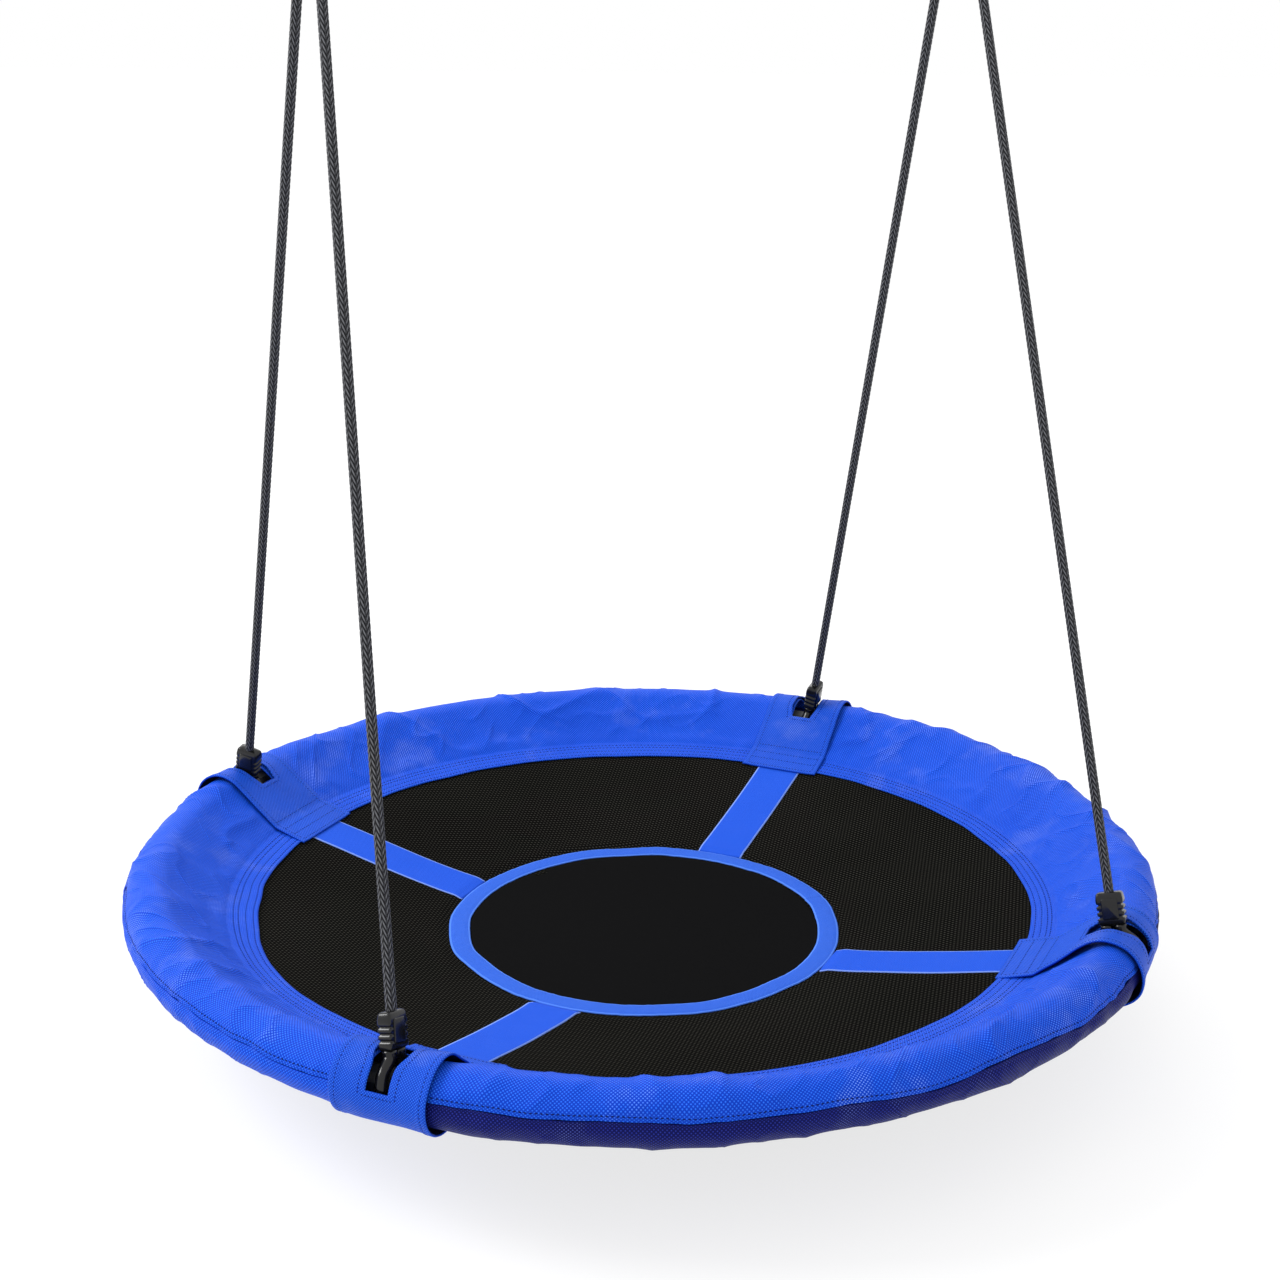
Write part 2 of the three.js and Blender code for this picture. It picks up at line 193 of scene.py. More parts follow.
def frames_along(path):
    """Tangents and two crosswise directions along a path, without twist."""
    path = np.asarray(path, float)
    t = np.gradient(path, axis=0)
    t /= np.linalg.norm(t, axis=1, keepdims=True)
    side = np.cross(t[0], [0, 0, 1] if abs(t[0][2]) < 0.9 else [1, 0, 0])
    sides = []
    for d in t:
        side = side - d * (side @ d)
        side /= np.linalg.norm(side)
        sides.append(side.copy())
    sides = np.array(sides)
    return t, sides, np.cross(t, sides)


def lengths(path):
    steps = np.linalg.norm(np.diff(path, axis=0), axis=1)
    return np.concatenate([[0], np.cumsum(steps)])


def tube(name, path, radius, sides, material, bore=None, dome=False):
    """A closed round tube. radius is a number or radius(angle, along); dome rounds its ends."""
    path = np.asarray(path, float)
    t, s, b = frames_along(path)
    along = lengths(path)
    angle = np.linspace(0, 2 * np.pi, sides, endpoint=False)
    A, L = np.meshgrid(angle, along)
    R = radius(A, L) if callable(radius) else np.full(A.shape, radius)
    ring = s[:, None] * np.cos(A)[..., None] + b[:, None] * np.sin(A)[..., None]
    p = path[:, None] + ring * R[..., None]
    uv = np.stack([A, L], -1)
    rows, uvs = [p], [uv]
    if bore:
        p2 = path[:, None] + ring * bore
        rows, uvs = [p, p2[::-1]], [uv, uv[::-1]]
    elif dome:
        steps = np.radians([65, 35, 12])
        r = R[0].mean()

        def cap(end, sign):
            reach, wide = sign * t[end] * r * 0.9, ring[end] * r
            return [path[end] + reach * math.cos(a) + wide * math.sin(a) for a in steps]

        head, tail = cap(0, -1)[::-1], cap(-1, 1)
        rows = [np.array(head), p, np.array(tail)]
        uvs = [np.repeat(uv[:1], 3, 0), uv, np.repeat(uv[-1:], 3, 0)]
    grid, guv = np.concatenate(rows), np.concatenate(uvs)
    nu, nv = grid.shape[:2]
    faces = [tuple(f) for f in grid_faces(nu, nv, closed_u=bool(bore), closed_v=True, flip=True)]
    if not bore:
        faces += [tuple(range(nv)), tuple(range((nu - 1) * nv, nu * nv))[::-1]]
    return make_object(name, grid.reshape(-1, 3), faces, material, guv.reshape(-1, 2))


def ring_point(angle, out, up):
    r = RING_R + out
    return np.stack([r * np.cos(angle), r * np.sin(angle), SEAT_Z + up], -1)


def mesh_height(r):
    r = np.asarray(r, float)
    rise = (HEM_Z - CENTRE_Z) / (HEM_R - CENTRE_R)
    return CENTRE_Z + rise * np.maximum(r - CENTRE_R, 0)


def resample(points, count):
    points = np.asarray(points, float)
    along = lengths(points)
    at = np.linspace(0, along[-1], count)
    return np.stack([np.interp(at, along, points[:, k]) for k in range(points.shape[1])], -1), at


# ---------------------------------------------------------------- materials


class Shader:
    """Builds one material's nodes."""

    def __init__(self, name, **sockets):
        self.material = bpy.data.materials.new(name)
        self.material.use_nodes = True
        self.tree = self.material.node_tree
        self.bsdf = self.tree.nodes["Principled BSDF"]
        for key, value in sockets.items():
            self.bsdf.inputs[key.replace("_", " ")].default_value = value

    def node(self, kind, **values):
        made = self.tree.nodes.new("ShaderNode" + kind)
        for key, value in values.items():
            setattr(made, key, value)
        return made

    def put(self, socket, value):
        if isinstance(value, bpy.types.NodeSocket):
            self.tree.links.new(value, socket)
        else:
            socket.default_value = value

    def math(self, operation, *values):
        made = self.node("Math", operation=operation)
        for socket, value in zip(made.inputs, values):
            self.put(socket, value)
        return made.outputs[0]

    def uv(self):
        made = self.node("SeparateXYZ")
        self.put(made.inputs[0], self.node("UVMap", uv_map="weave").outputs[0])
        return made.outputs[0], made.outputs[1]

    def noise(self, scale, detail=2.0, stretch=(1, 1, 1), roughness=0.5):
        coordinates = self.node("TexCoord").outputs["Object"]
        mapping = self.node("Mapping")
        mapping.inputs["Scale"].default_value = stretch
        self.put(mapping.inputs[0], coordinates)
        made = self.node("TexNoise")
        made.inputs["Scale"].default_value = scale
        made.inputs["Detail"].default_value = detail
        made.inputs["Roughness"].default_value = roughness
        self.put(made.inputs["Vector"], mapping.outputs[0])
        return made.outputs["Fac"]

    def wave(self, value, period, phase=0.0):
        """A sine of a length in metres, from 0 to 1."""
        turned = self.math("MULTIPLY_ADD", value, 2 * math.pi / period, phase)
        return self.math("MULTIPLY_ADD", self.math("SINE", turned), 0.5, 0.5)

    def ramp(self, factor, *stops):
        made = self.node("ValToRGB")
        ramp = made.color_ramp
        while len(ramp.elements) < len(stops):
            ramp.elements.new(0.5)
        for element, (place, color) in zip(ramp.elements, stops):
            element.position = place
            element.color = (*color, 1)
        self.put(made.inputs[0], factor)
        return made.outputs[0]

    def mix(self, factor, a, b, blend="MIX"):
        made = self.node("Mix", data_type="RGBA", blend_type=blend)
        self.put(made.inputs["Factor"], factor)
        for socket, value in ((made.inputs[6], a), (made.inputs[7], b)):
            self.put(socket, (*value, 1) if isinstance(value, tuple) else value)
        return made.outputs[2]

    def bump(self, height, strength, distance, under=None):
        made = self.node("Bump")
        made.inputs["Strength"].default_value = strength
        made.inputs["Distance"].default_value = distance
        self.put(made.inputs["Height"], height)
        if under is not None:
            self.put(made.inputs["Normal"], under)
        return made.outputs[0]

    def finish(self, color, roughness=None, normal=None):
        self.put(self.bsdf.inputs["Base Color"], color)
        if roughness is not None:
            self.put(self.bsdf.inputs["Roughness"], roughness)
        if normal is not None:
            self.put(self.bsdf.inputs["Normal"], normal)
        return self.material


def oxford(name, deep, middle, light, period=0.0030, painted_glint_level=0.5):
    """A coated Oxford weave: a basket of bright yarn tops over dark gaps, with patches of
    painted highlight where the tops are nearly white, in place of light glinting on the coating."""
    s = Shader(name, Sheen_Weight=0.01, Sheen_Roughness=0.4, Specular_IOR_Level=0.08)
    s.bsdf.inputs["Sheen Tint"].default_value = (0.55, 0.68, 1.0, 1)
    u, v = s.uv()
    a, b = s.wave(s.math("ADD", u, v), period), s.wave(s.math("SUBTRACT", u, v), period)
    tops = s.math("MULTIPLY", a, b)
    yarn = s.wave(u, period / 5)
    height = s.math("MULTIPLY_ADD", yarn, 0.15, tops)
    base = s.ramp(tops, (0.0, deep), (0.45, middle), (1.0, light))
    tint = s.ramp(s.noise(9, 3), (0.3, (0.86, 0.88, 0.93)), (0.7, (1.0, 1.0, 1.0)))
    color = s.mix(1.0, base, tint, "MULTIPLY")
    # Painted highlight: noise patches where the yarn tops turn pale, standing in for light glinting
    # off the coating; painted_glint_level sets how pale.
    glint_patches = s.ramp(s.noise(16, 3, roughness=0.6), (0.56, (0, 0, 0)), (0.70, (1, 1, 1)))
    painted_glint_mask = s.math("MULTIPLY", glint_patches, s.ramp(tops, (0.35, (0, 0, 0)), (0.8, (painted_glint_level,) * 3)))
    color = s.mix(painted_glint_mask, color, (0.36, 0.50, 0.92))
    rough = s.math("MULTIPLY_ADD", s.noise(25, 2), 0.25, 0.34)
    creases = s.noise(55, 4, (1, 1, 1.6), 0.6)
    normal = s.bump(height, 0.55, 0.0007, s.bump(creases, 0.45, 0.0020))
    return s.finish(color, rough, normal)


def webbing(name, deep, middle, light, half_width, selvage):
    """Woven tape: ribs along it, a fine cross weave and lighter edges."""
    s = Shader(name, Sheen_Weight=0.01, Sheen_Roughness=0.4, Specular_IOR_Level=0.05)
    u, v = s.uv()
    zigzag = s.math("PINGPONG", v, 0.0022)
    rib = s.wave(s.math("ADD", u, zigzag), 0.0016)
    across = s.wave(v, 0.0011)
    height = s.math("MULTIPLY_ADD", across, 0.6, rib)
    base = s.ramp(s.math("MULTIPLY", height, 0.625), (0.05, deep), (0.5, middle), (0.95, light))
    away = s.math("ABSOLUTE", v)
    edge = s.math("GREATER_THAN", away, half_width - 0.0016)
    color = s.mix(s.math("MULTIPLY", edge, 0.75), base, selvage)
    rough = s.math("MULTIPLY_ADD", s.noise(30, 2), 0.2, 0.5)
    return s.finish(color, rough, s.bump(height, 0.5, 0.0005))


def seat_mesh_material():
    """A coated polyester mesh: rows of small knots with dark holes between."""
    s = Shader("black_mesh_weave", Specular_IOR_Level=0.0)
    u, v = s.uv()
    rows = s.math("MULTIPLY", s.wave(u, 0.0034), s.wave(s.math("MULTIPLY_ADD", u, 0.5, v), 0.0044))
    cords = s.wave(u, 0.0034, 1.2)
    height = s.math("MULTIPLY_ADD", cords, 0.4, rows)
    base = s.ramp(rows, (0.1, (0.0040, 0.0040, 0.0036)), (0.50, (0.011, 0.011, 0.0100)),
                  (0.95, (0.055, 0.053, 0.045)))
    tint = s.ramp(s.noise(5, 3), (0.3, (0.8, 0.8, 0.8)), (0.7, (1.0, 1.0, 1.0)))
    return s.finish(s.mix(1.0, base, tint, "MULTIPLY"), 0.62, s.bump(height, 0.6, 0.0006))


def black_cloth_material():
    s = Shader("black_cloth_weave", Specular_IOR_Level=0.0)
    u, v = s.uv()
    weave = s.math("MULTIPLY", s.wave(s.math("ADD", u, v), 0.0018),
                   s.wave(s.math("SUBTRACT", u, v), 0.0018))
    base = s.ramp(weave, (0.0, (0.004, 0.004, 0.0042)), (1.0, (0.014, 0.014, 0.0145)))
    soft = s.noise(14, 3)
    rough = s.math("MULTIPLY_ADD", soft, 0.2, 0.5)
    return s.finish(base, rough, s.bump(weave, 0.4, 0.0004, s.bump(soft, 0.25, 0.002)))


def rope_material():
    """A braid: chevrons of slanting strands, each of fine fibres."""
    s = Shader("braided_rope", Specular_IOR_Level=0.12, Sheen_Weight=0.05)
    a, l = s.uv()
    columns = s.math("PINGPONG", s.math("MULTIPLY", a, BRAID_COLUMNS / (2 * math.pi)), 1.0)
    phase = s.math("MULTIPLY_ADD", columns, BRAID_SLANT, s.math("DIVIDE", l, BRAID_PITCH))
    strand = s.wave(phase, 1.0)
    edge = s.math("SINE", s.math("MULTIPLY", columns, math.pi))
    strands = s.math("MULTIPLY", strand, s.math("MULTIPLY_ADD", edge, 0.6, 0.4))
    fibres = s.wave(s.math("MULTIPLY_ADD", a, 0.004, l), 0.0009)
    base = s.ramp(strands, (0.0, (0.004, 0.004, 0.005)), (0.35, (0.016, 0.017, 0.020)),
                  (0.85, (0.18, 0.185, 0.20)))
    color = s.mix(s.math("MULTIPLY", fibres, 0.35), base, (0.01, 0.01, 0.012))
    height = s.math("MULTIPLY_ADD", fibres, 0.15, strands)
    return s.finish(color, 0.6, s.bump(height, 0.6, 0.0006))


def plastic(name, color, roughness, coat=0.0, grain=120, depth=0.00008, shine=0.3):
    s = Shader(name, Coat_Weight=coat, Coat_Roughness=0.12, Specular_IOR_Level=shine)
    spots = s.noise(grain, 3)
    light = tuple(min(1, c * 1.8 + 0.004) for c in color)
    base = s.mix(s.math("MULTIPLY", spots, 0.5), color, light)
    rough = s.math("MULTIPLY_ADD", spots, 0.15, roughness)
    return s.finish(base, rough, s.bump(spots, 0.3, depth))


def steel(name, color, roughness):
    s = Shader(name, Metallic=1.0)
    spangle = s.noise(90, 4, roughness=0.7)
    scratches = s.noise(160, 2, (1, 8, 1))
    dark = tuple(c * 0.72 for c in color)
    base = s.ramp(spangle, (0.35, dark), (0.65, color))
    rough = s.math("MULTIPLY_ADD", scratches, 0.25, roughness)
    return s.finish(base, rough, s.bump(scratches, 0.15, 0.0001))


def foam_material():
    s = Shader("grey_foam_cells", Specular_IOR_Level=0.3)
    coordinates = s.node("TexCoord").outputs["Object"]
    cells = s.node("TexVoronoi")
    cells.inputs["Scale"].default_value = 700
    s.put(cells.inputs["Vector"], coordinates)
    base = s.ramp(cells.outputs["Distance"], (0.0, (0.02, 0.02, 0.022)), (0.6, (0.075, 0.077, 0.082)))
    return s.finish(base, 0.85, s.bump(cells.outputs["Distance"], 0.5, 0.0005))


blue = oxford("blue_oxford", (0.002, 0.042, 0.48), (0.007, 0.096, 0.80), (0.045, 0.235, 0.98))
# Painted shade: a darkened copy of the blue cloth, for the under panels that face away from the
# light, with weaker painted glints.
painted_shade_blue = oxford("painted_shade_blue_oxford", (0.002, 0.003, 0.070), (0.004, 0.008, 0.150), (0.03, 0.050, 0.38),
              painted_glint_level=0.2)
patch_blue = oxford("patch_oxford", (0.003, 0.045, 0.44), (0.009, 0.098, 0.74),
                    (0.055, 0.235, 0.95), period=0.0026)
strap_blue = webbing("strap_weave", (0.003, 0.045, 0.45), (0.008, 0.074, 0.63),
                     (0.035, 0.16, 0.84), STRAP_WIDTH / 2, (0.26, 0.40, 0.90))
tape_blue = webbing("tape_weave", (0.009, 0.062, 0.44), (0.020, 0.105, 0.60),
                    (0.07, 0.20, 0.82), TAPE_WIDTH / 2, (0.10, 0.26, 0.90))
thread = plastic("blue_thread", (0.002, 0.008, 0.10), 0.6, grain=900, shine=0.1)
# Painted shade: a near-black copy of the patch cloth for the patches' inner sides, standing in for
# the shade in the gap under their loose edges.
painted_shade_lining = oxford("painted_shade_lining", (0.001, 0.002, 0.010), (0.001, 0.004, 0.030),
                      (0.004, 0.012, 0.070), period=0.0026, painted_glint_level=0.0)
black_mesh = seat_mesh_material()
black_cloth = black_cloth_material()
rope_braid = rope_material()
rope_inner = plastic("rope_ends", (0.015, 0.015, 0.017), 0.6, grain=600, shine=0.1)
hose_black = plastic("hose_gloss", (0.003, 0.003, 0.0035), 0.10, coat=0.2, grain=60)
clamp_black = plastic("clamp_gloss", (0.004, 0.004, 0.0045), 0.14, coat=0.15)
# Painted shade: the zinc is darkened far below bare zinc so that the frame's tube reads dark inside
# the patches' slots.
zinc_painted_shade = steel("zinc_steel_painted_shade", (0.17, 0.175, 0.185), 0.5)
ring_steel = steel("ring_steel_finish", (0.70, 0.71, 0.73), 0.22)
foam = foam_material()

# ---------------------------------------------------------------- ropes


def outward_at(corner):
    angle = math.radians(CORNERS[corner])
    return np.array([math.cos(angle), math.sin(angle), 0.0])


RING_LOOP_END = RING_LOOP[1] + CLAMP_H + 2 * GAP + ROPE_R
FRAME_LOOP_END = FRAME_LOOP[1] + GAP + CLAMP_H + FLEX_GAP + ROPE_R
# How far a rope's two ends run on into their clamps, and the rope's whole length.
INTO_TOP_CLAMP, INTO_LOWER_CLAMP = 0.0050, 0.0065
ROPE_LENGTH, ROPE_STEP = 0.953, 0.0012


def rope_ends(corner):
    """(a rope leg's top, its bottom, the middle of the frame's tube there, the way up)."""
    middle = outward_at(corner) * HANG_R + np.array([0, 0, SEAT_Z])
    side = -1 if "left" in corner else 1
    end = -1 if "front" in corner else 1
    top = np.array([side * HOOK_X, end * LEG, -RING_LOOP_END])
    along = (top - middle) / np.linalg.norm(top - middle)
    return top, middle + along * FRAME_LOOP_END, middle, along


def braid_radius(A, L):
    """The strands' own relief on the rope."""
    columns = 1 - np.abs((A * BRAID_COLUMNS / (2 * np.pi)) % 2 - 1)
    strand = 0.5 + 0.5 * np.sin(2 * np.pi * (L / BRAID_PITCH + BRAID_SLANT * columns))
    return ROPE_R - 0.0003 + 0.0005 * strand * (0.4 + 0.6 * np.sin(np.pi * columns))


for corner in CORNERS:
    top, bottom, _, along = rope_ends(corner)
    top, bottom = top + along * INTO_TOP_CLAMP, bottom - along * INTO_LOWER_CLAMP
    steps = int(np.linalg.norm(top - bottom) / ROPE_STEP)
    path = top + (bottom - top) * np.linspace(0, 1, steps)[:, None]
    rope = tube(f"braided_rope_{corner}", path, braid_radius, 32, rope_braid, dome=True)
    body = "left_ropes" if "left" in corner else "right_ropes"
    belongs(rope, body, f"rope_{corner}")


def loop_path(bend, length, count):
    """The line of a rope's loop in its own plane: two legs and a bend round the origin."""
    turn = np.radians(np.linspace(25, -75, 5))
    around = [(bend * math.cos(a), bend * math.sin(a)) for a in turn]
    half = [(LEG, length), (LEG, length - 0.005), *around]
    curve = np.array(half + [(-x, y) for x, y in half[::-1]])
    knots = lengths(curve)
    at = np.linspace(0, knots[-1], count)
    # A smooth curve through the points, by Hermite pieces on their chord lengths.
    tangents = np.gradient(curve, knots, axis=0)
    k = np.clip(np.searchsorted(knots, at, "right") - 1, 0, len(knots) - 2)
    h = (knots[k + 1] - knots[k])[:, None]
    t = ((at - knots[k]) / h[:, 0])[:, None]
    return (
        (2 * t**3 - 3 * t**2 + 1) * curve[k]
        + (t**3 - 2 * t**2 + t) * h * tangents[k]
        + (-2 * t**3 + 3 * t**2) * curve[k + 1]
        + (t**3 - t**2) * h * tangents[k + 1]
    )


def axes_at(place, along, across):
    """A frame whose Y runs along and whose X lies as near across as can be."""
    y = np.asarray(along, float) / np.linalg.norm(along)
    z = np.cross(across, y)
    z /= np.linalg.norm(z)
    return np.asarray(place, float), np.stack([np.cross(y, z), y, z])


def placed(local, where):
    place, axes = where
    return place + np.asarray(local, float) @ axes


def hose(name, node, where, loop, body):
    flat = loop_path(*loop, 60)
    path = placed(np.column_stack([flat, np.zeros(len(flat))]), where)
    made = tube(name, path, HOSE_R, 22, hose_black, bore=HOSE_BORE)
    belongs(made, body, node)


def rounded(half_w, half_d, corner, count=7):
    """A rounded rectangle round the Y axis, as [x, z] points."""
    points = []
    for sx, sz, start in ((1, 1, 0), (-1, 1, 90), (-1, -1, 180), (1, -1, 270)):
        for a in np.radians(np.linspace(start, start + 90, count)):
            points.append((sx * (half_w - corner) + corner * math.cos(a),
                           sz * (half_d - corner) + corner * math.sin(a)))
    return np.array(points)


def clamp(name, node, where, body):
    """A moulded rope clamp: a chamfered block with three grooves across its narrow sides."""
    w, d, h = CLAMP_W / 2, CLAMP_D / 2, CLAMP_H
    # Each row is (height, half width, half depth, corner radius).
    rows = [(0.0, w - 0.0016, d - 0.0014, 0.0014), (0.0006, w - 0.0006, d - 0.0005, 0.0018),
            (0.0016, w, d, 0.0020), (0.0052, w, d, 0.0020)]
    for start in (0.0060, 0.0115, 0.0170):
        rows += [(start, w - 0.0001, d, 0.0020), (start + 0.0007, w - 0.0019, d - 0.0003, 0.0018),
                 (start + 0.0021, w - 0.0019, d - 0.0003, 0.0018),
                 (start + 0.0028, w - 0.0001, d, 0.0020), (start + 0.0044, w, d, 0.0020)]
    rows += [(0.0236, w, d, 0.0020), (h - 0.0018, w - 0.0007, d - 0.0006, 0.0022),
             (h - 0.0006, w - 0.0018, d - 0.0014, 0.0022), (h, w - 0.0034, d - 0.0026, 0.0018)]
    rings = [np.insert(rounded(a, b, c), 1, y, axis=1) for y, a, b, c in rows]
    grid = np.array(rings)
    nu, nv = grid.shape[:2]
    faces = [tuple(f) for f in grid_faces(nu, nv, closed_v=True)]
    faces += [tuple(range(nv)), tuple(range((nu - 1) * nv, nu * nv))[::-1]]
    points = grid.reshape(-1, 3)
    block = make_object(name, placed(points, where), faces, clamp_black)
    mesh_clean(block)
    belongs(block, body, node)


def clamp_panels():
    """A raised panel on each broad face of a clamp, as lofts of three outlines."""
    panel, height, d = rounded(0.0075, 0.0098, 0.0016, 5), 0.0148, CLAMP_D / 2
    lofts = []
    for sign in (1, -1):
        foot = np.full(len(panel), sign * (d - 0.0006))
        low = np.column_stack([panel[:, 0], panel[:, 1] + height, foot])
        mid = low * [1, 1, 0] + [0, 0, sign * (d + 0.0005)]
        top = (mid - [0, height, 0]) * [0.92, 0.92, 1] + [0, height, sign * 0.0004]
        lofts.append(np.array([low, mid, top]))
    return lofts


def join_grids(name, grids, material, where):
    """Several capped lofts as one object."""
    points, faces = [], []
    for grid in grids:
        base = sum(len(p) for p in points)
        nu, nv = grid.shape[:2]
        faces += [tuple(f) for f in grid_faces(nu, nv, base, closed_v=True)]
        faces += [tuple(base + i for i in range(nv))[::-1],
                  tuple(base + i for i in range((nu - 1) * nv, nu * nv))]
        points.append(placed(grid.reshape(-1, 3), where))
    made = make_object(name, np.concatenate(points), faces, material)
    mesh_clean(made)
    return made


def rope_fitting(label, where, loop, hose_node, clamp_node, body):
    """A hose round a rope's loop, and the clamp that closes the loop."""
    hose(f"hose_{label}", hose_node, where, loop, body)
    base = (placed([0, loop[1] + GAP, 0], where), where[1])
    clamp(f"rope_clamp_{label}", clamp_node, base, body)
    detail = join_grids(f"clamp_panels_{label}", clamp_panels(), clamp_black, base)
    belongs(detail, body)


for side, x in (("left", -HOOK_X), ("right", HOOK_X)):
    head = axes_at((x, 0, 0), (0, 0, -1), (0, 1, 0))
    rope_fitting(f"top_{side}", head, RING_LOOP, f"top_hose_{side}", f"top_clamp_{side}",
                 "rope_heads")
    nodes[f"top_rope_loop_{side}"].data.materials[0] = rope_inner

for corner in CORNERS:
    _, _, middle, along = rope_ends(corner)
    rope_fitting(corner, axes_at(middle, along, outward_at(corner)), FRAME_LOOP,
                 f"lower_hose_{corner}", f"lower_clamp_{corner}", "seat")
    nodes[f"lower_rope_loop_{corner}"].data.materials[0] = rope_inner

# The steel rings: round bar, closed by a butt weld at the side.
for side, x in (("left", -HOOK_X), ("right", HOOK_X)):
    turn = np.linspace(0, 2 * np.pi, 96, endpoint=False)
    around = np.linspace(0, 2 * np.pi, 24, endpoint=False)
    T, A = np.meshgrid(turn, around, indexing="ij")
    away = np.abs((T - np.pi / 3 + np.pi) % (2 * np.pi) - np.pi) * STEEL_RING_R
    r = STEEL_BAR_R + 0.0006 * np.exp(-((away / 0.0017) ** 2))
    R = STEEL_RING_R + r * np.cos(A)
    points = np.stack([x + R * np.sin(T), r * np.sin(A), STEEL_RING_R - R * np.cos(T)], -1)
    faces = grid_faces(96, 24, closed_u=True, closed_v=True)
    ring = make_object(f"welded_ring_{side}", points.reshape(-1, 3), faces, ring_steel)
    mesh_clean(ring)
    belongs(ring, "hang_rings", f"steel_ring_{side}")

# ---------------------------------------------------------------- stitches


class Stitches:
    """Collects short threads and makes one object of them."""

    def __init__(self):
        self.points, self.faces = [], []

    def row(self, line, normals, pitch=STITCH, width=0.0007, height=0.00055, gap=0.3, lift=0.0):
        """Threads along a line of points, a lift above the surface whose normals are given.
        width is half a thread's, and gap is the bare share of the pitch."""
        line, normals = np.asarray(line, float), np.asarray(normals, float)
        along = lengths(line)
        count = max(1, int(along[-1] / pitch))
        starts = np.arange(count) * pitch + (along[-1] - count * pitch) / 2
        for a in starts:
            ends = []
            for at in (a + pitch * gap / 2, a + pitch * 0.5, a + pitch * (1 - gap / 2)):
                ends.append([np.interp(at, along, line[:, k]) for k in range(3)])
            p0, p1, p2 = np.array(ends)
            n = np.array([np.interp(a + pitch / 2, along, normals[:, k]) for k in range(3)])
            n /= max(np.linalg.norm(n), 1e-9)
            side = np.cross(p2 - p0, n)
            side /= max(np.linalg.norm(side), 1e-9)
            p0, p1, p2 = p0 + n * lift, p1 + n * lift, p2 + n * lift
            base = len(self.points)
            self.points += [p0 - n * 0.0001, p1 + side * width, p1 + n * height, p1 - side * width,
                            p1 - n * 0.0004, p2 - n * 0.0001]
            for i in range(4):
                j = (i + 1) % 4
                self.faces.append((base, base + 1 + j, base + 1 + i))
                self.faces.append((base + 5, base + 1 + i, base + 1 + j))

    def make(self, name, body):
        made = make_object(name, self.points, self.faces, thread)
        mesh_clean(made)
        belongs(made, body)


# ---------------------------------------------------------------- cover


def tangent_angle(out, up, radius, above):
    middle = math.atan2(up, out)
    spread = math.acos(radius / math.hypot(out, up))
    return middle - spread if above else middle + spread


def hem_height(out):
    return float(mesh_height(RING_R + out))


def cover_profile(above, seam_up):
    """Half the cover's section from the hem to the seam, as [out, up] points in metres."""
    sign = 1 if above else -1
    hem_in, hem_out = HEM_R - RING_R, HEM_R - RING_R + HEM_WIDTH
    lift = sign * (MESH / 2 + GAP + CLOTH)
    low = hem_height(hem_out) + lift
    start = tangent_angle(hem_out, low, COVER_R, above) % (2 * np.pi)
    end = math.radians(seam_up) + (0 if above else 2 * np.pi)
    angles = np.linspace(start, end, 30)
    return [(hem_in, hem_height(hem_in) + lift), (hem_out, low),
            *[(COVER_R * math.cos(a), COVER_R * math.sin(a)) for a in angles]]


TOP_ROWS, UNDER_ROWS, COLUMNS = 66, 46, 330
HEM_ROWS = (0.005, 0.011, 0.017, 0.023)  # rows of stitches, from the hem's inner edge
SEAM_ROW = 0.0045  # one more, above the seam
top_line, top_at = resample(cover_profile(True, SEAM), TOP_ROWS)
under_line, under_at = resample(cover_profile(False, SEAM), UNDER_ROWS)


def seam_shift(angle):
    """How far the seam wanders up and down the cover's side, in metres."""
    a = angle * RING_R
    return 0.0035 * noise(a / 0.085, a * 0 + 3.3, 21) + 0.0012 * noise(a / 0.03, a * 0, 22)


def upward(normals, i, j):
    """A grid's normals, turned over if the one at (i, j) points down."""
    return -normals if normals[i, j, 2] < 0 else normals


def section_normals(line):
    d = np.gradient(line, axis=0)
    n = np.stack([-d[:, 1], d[:, 0]], -1)
    return n / np.linalg.norm(n, axis=1, keepdims=True)


def cover_relief(angle, s, total, above):
    """Wrinkles of the cover: puckers at its two seams, and folds between them."""
    a = angle * 0.45
    open_cloth = smooth(s, 0.030, 0.055) * (1 - smooth(s, total - 0.014, total))
    soft = noise(a / 0.11, s / 0.10, 1 if above else 2)
    lean = 0.9 * noise(a / 0.30, s * 0, 3)
    folds = noise((a + lean * s) / 0.040, s / 0.13 + 0.2 * a / 0.034, 4 if above else 5)
    ridge = 1 - np.abs(noise((a - 0.7 * s) / 0.060, (s + 0.5 * a) / 0.075, 6))
    crease = 1 - np.abs(noise((a + 0.9 * s) / 0.028, (s - 0.6 * a) / 0.045, 12))
    small = noise(a / 0.016, s / 0.045, 7)
    d = 0.0020 * soft + 0.0018 * folds + 0.0032 * (ridge**5 - 0.2) + 0.0016 * (crease**6 - 0.15)
    # Under the hang patches the cloth is pressed flatter.
    from_corner = np.abs(angle % (np.pi / 2) - np.pi / 4)
    pressed = smooth(from_corner, 0.085, 0.150)
    d = open_cloth * (d + 0.0007 * small) * (0.1 + 0.9 * pressed) * (1.0 if above else 0.55)
    hem = np.exp(-(((s - 0.034) / 0.011) ** 2))
    d += hem * 0.0011 * (1 + noise(a / 0.013, s * 0, 8))
    # The foam under the cloth keeps it from falling in.
    d = np.where(d < 0, -0.0014 * np.tanh(-d / 0.0014), d)
    gather = np.exp(-(((total - s) / 0.016) ** 2))
    d += gather * (0.0010 if above else 0.0013) * noise(a / (0.009 if above else 0.017), s * 0, 9)
    # The two stitched edges pull the cloth in.
    d -= 0.0014 * np.exp(-(((total - 0.003 - s) / 0.0016) ** 2))
    d += 0.0006 * (1 - smooth(s, 0.024, 0.030))
    for row in HEM_ROWS:
        d -= 0.0007 * np.exp(-(((s - row) / 0.0012) ** 2))
    return d


